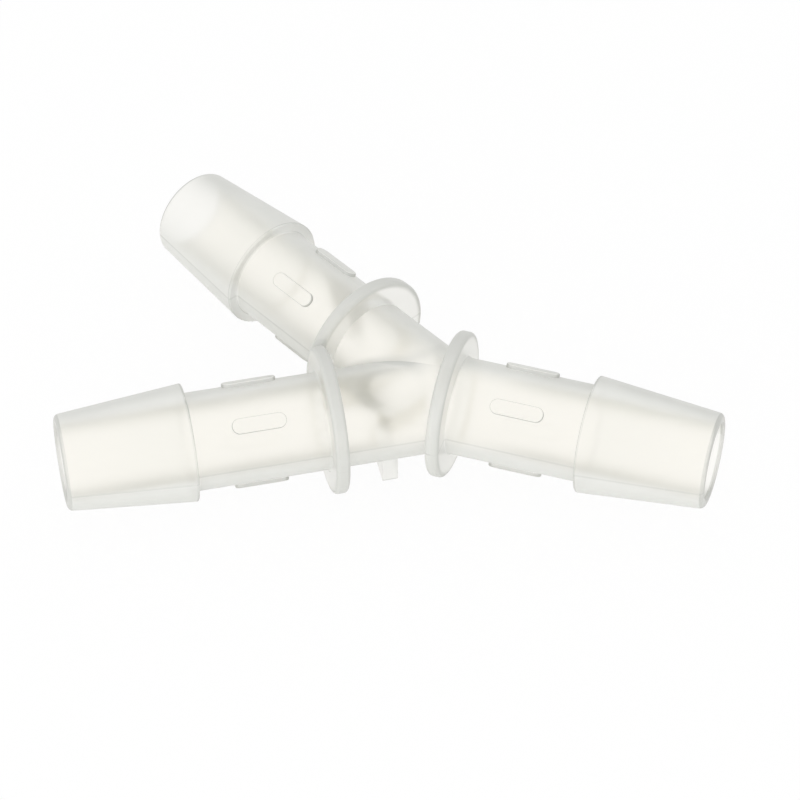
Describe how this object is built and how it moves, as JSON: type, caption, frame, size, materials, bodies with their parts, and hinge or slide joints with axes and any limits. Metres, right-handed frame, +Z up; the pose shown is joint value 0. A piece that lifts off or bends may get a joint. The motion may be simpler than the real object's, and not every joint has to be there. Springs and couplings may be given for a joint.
{
  "type": "tubing y connector",
  "caption": "One-piece translucent plastic Y fitting: a stem and splayed legs, each with a stop flange, a plain neck with raised pads and a tapered hose barb, to split or join tubing runs.",
  "frame": {"origin": "hub centre, the point where the axes of the bores meet", "axes": "+X along the stem's bore, out of its mouth; +Z up, square to the plane of the Y, away from the feet; the legs' bores lie in the same plane, 30 degrees to either side of -X"},
  "size_m": [0.0782, 0.0572, 0.0184],
  "materials": {
    "natural_polypropylene": "natural, milky translucent polypropylene with a satin moulded surface"
  },
  "bodies": {
    "root": {"y_connector": "natural_polypropylene"}
  },
  "joints": []
}
